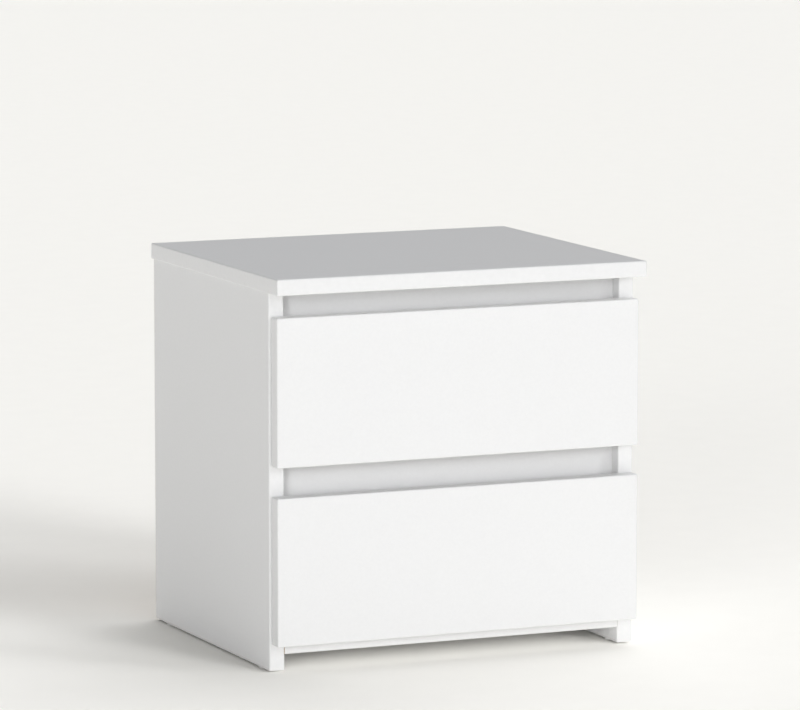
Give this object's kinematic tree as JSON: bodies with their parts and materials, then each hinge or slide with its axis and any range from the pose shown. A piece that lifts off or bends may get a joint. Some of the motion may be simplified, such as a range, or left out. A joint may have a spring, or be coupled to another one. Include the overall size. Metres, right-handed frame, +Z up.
{
  "type": "nightstand with drawers",
  "caption": "White bedside cabinet: an overhanging top on side panels, with handleless drawer fronts set apart by finger gaps, on roller runners.",
  "frame": {"origin": "on the floor, under the centre of the top panel", "axes": "+Z up, drawer fronts face -Y, +X to the right of someone facing the front"},
  "size_m": [0.4, 0.343, 0.3935],
  "materials": {
    "white_board": "white melamine foil on chipboard, satin, with matching edge band",
    "hardboard": "hardboard, white lacquer on one face, raw brown on the other",
    "runner_enamel": "off-white powder coat, satin",
    "roller_nylon": "natural white nylon",
    "pin_steel": "zinc-plated steel",
    "cam_zinc": "die-cast zinc",
    "glide_plastic": "moulded plastic"
  },
  "bodies": {
    "carcass": {"top_panel": "white_board", "side_panel_left": "white_board", "side_panel_right": "white_board", "bottom_panel": "white_board", "upper_rail": "white_board", "middle_rail": "white_board", "back_panel": "hardboard", "floor_glide_front_left": "glide_plastic", "floor_glide_front_right": "glide_plastic", "floor_glide_rear_left": "glide_plastic", "floor_glide_rear_right": "glide_plastic", "top_cam_front_left": "cam_zinc", "top_cam_front_right": "cam_zinc", "top_cam_rear_left": "cam_zinc", "top_cam_rear_right": "cam_zinc", "bottom_cam_front_left": "cam_zinc", "bottom_cam_front_right": "cam_zinc", "bottom_cam_rear_left": "cam_zinc", "bottom_cam_rear_right": "cam_zinc", "upper_left_cabinet_runner": "runner_enamel", "upper_left_front_pin": "pin_steel", "upper_right_cabinet_runner": "runner_enamel", "upper_right_front_pin": "pin_steel", "lower_left_cabinet_runner": "runner_enamel", "lower_left_front_pin": "pin_steel", "lower_right_cabinet_runner": "runner_enamel", "lower_right_front_pin": "pin_steel"},
    "upper_drawer": {"upper_drawer_front": "white_board", "upper_drawer_side_left": "white_board", "upper_drawer_side_right": "white_board", "upper_drawer_back": "white_board", "upper_drawer_bottom": "hardboard", "upper_drawer_cam_left": "cam_zinc", "upper_drawer_cam_right": "cam_zinc", "upper_left_drawer_runner": "runner_enamel", "upper_left_rear_pin": "pin_steel", "upper_right_drawer_runner": "runner_enamel", "upper_right_rear_pin": "pin_steel"},
    "lower_drawer": {"lower_drawer_front": "white_board", "lower_drawer_side_left": "white_board", "lower_drawer_side_right": "white_board", "lower_drawer_back": "white_board", "lower_drawer_bottom": "hardboard", "lower_drawer_cam_left": "cam_zinc", "lower_drawer_cam_right": "cam_zinc", "lower_left_drawer_runner": "runner_enamel", "lower_left_rear_pin": "pin_steel", "lower_right_drawer_runner": "runner_enamel", "lower_right_rear_pin": "pin_steel"},
    "upper_left_front_roller": {"upper_left_front_roller": "roller_nylon"},
    "upper_left_rear_roller": {"upper_left_rear_roller": "roller_nylon"},
    "upper_right_front_roller": {"upper_right_front_roller": "roller_nylon"},
    "upper_right_rear_roller": {"upper_right_rear_roller": "roller_nylon"},
    "lower_left_front_roller": {"lower_left_front_roller": "roller_nylon"},
    "lower_left_rear_roller": {"lower_left_rear_roller": "roller_nylon"},
    "lower_right_front_roller": {"lower_right_front_roller": "roller_nylon"},
    "lower_right_rear_roller": {"lower_right_rear_roller": "roller_nylon"}
  },
  "joints": [
    {"name": "upper_drawer_slide", "type": "slide", "parent": "carcass", "child": "upper_drawer", "axis": [0, -1, 0], "range_m": [0, 0.22]},
    {"name": "lower_drawer_slide", "type": "slide", "parent": "carcass", "child": "lower_drawer", "axis": [0, -1, 0], "range_m": [0, 0.22]},
    {"name": "upper_left_front_roller_spin", "type": "hinge", "parent": "carcass", "child": "upper_left_front_roller", "pos_m": [-0.1761, -0.131, 0.2299], "axis": [1, 0, 0], "continuous": true},
    {"name": "upper_left_rear_roller_spin", "type": "hinge", "parent": "upper_drawer", "child": "upper_left_rear_roller", "pos_m": [-0.1754, 0.1423, 0.2269], "axis": [1, 0, 0], "continuous": true},
    {"name": "upper_right_front_roller_spin", "type": "hinge", "parent": "carcass", "child": "upper_right_front_roller", "pos_m": [0.1761, -0.131, 0.2299], "axis": [1, 0, 0], "continuous": true},
    {"name": "upper_right_rear_roller_spin", "type": "hinge", "parent": "upper_drawer", "child": "upper_right_rear_roller", "pos_m": [0.1754, 0.1423, 0.2269], "axis": [1, 0, 0], "continuous": true},
    {"name": "lower_left_front_roller_spin", "type": "hinge", "parent": "carcass", "child": "lower_left_front_roller", "pos_m": [-0.1761, -0.131, 0.0518], "axis": [1, 0, 0], "continuous": true},
    {"name": "lower_left_rear_roller_spin", "type": "hinge", "parent": "lower_drawer", "child": "lower_left_rear_roller", "pos_m": [-0.1754, 0.1423, 0.0488], "axis": [1, 0, 0], "continuous": true},
    {"name": "lower_right_front_roller_spin", "type": "hinge", "parent": "carcass", "child": "lower_right_front_roller", "pos_m": [0.1761, -0.131, 0.0518], "axis": [1, 0, 0], "continuous": true},
    {"name": "lower_right_rear_roller_spin", "type": "hinge", "parent": "lower_drawer", "child": "lower_right_rear_roller", "pos_m": [0.1754, 0.1423, 0.0488], "axis": [1, 0, 0], "continuous": true}
  ],
  "couplings": [
    {"joint": "upper_left_front_roller_spin", "follows": "upper_drawer_slide", "rad_per_m": 117.65},
    {"joint": "upper_left_rear_roller_spin", "follows": "upper_drawer_slide", "rad_per_m": 117.65},
    {"joint": "upper_right_front_roller_spin", "follows": "upper_drawer_slide", "rad_per_m": 117.65},
    {"joint": "upper_right_rear_roller_spin", "follows": "upper_drawer_slide", "rad_per_m": 117.65},
    {"joint": "lower_left_front_roller_spin", "follows": "lower_drawer_slide", "rad_per_m": 117.65},
    {"joint": "lower_left_rear_roller_spin", "follows": "lower_drawer_slide", "rad_per_m": 117.65},
    {"joint": "lower_right_front_roller_spin", "follows": "lower_drawer_slide", "rad_per_m": 117.65},
    {"joint": "lower_right_rear_roller_spin", "follows": "lower_drawer_slide", "rad_per_m": 117.65}
  ]
}
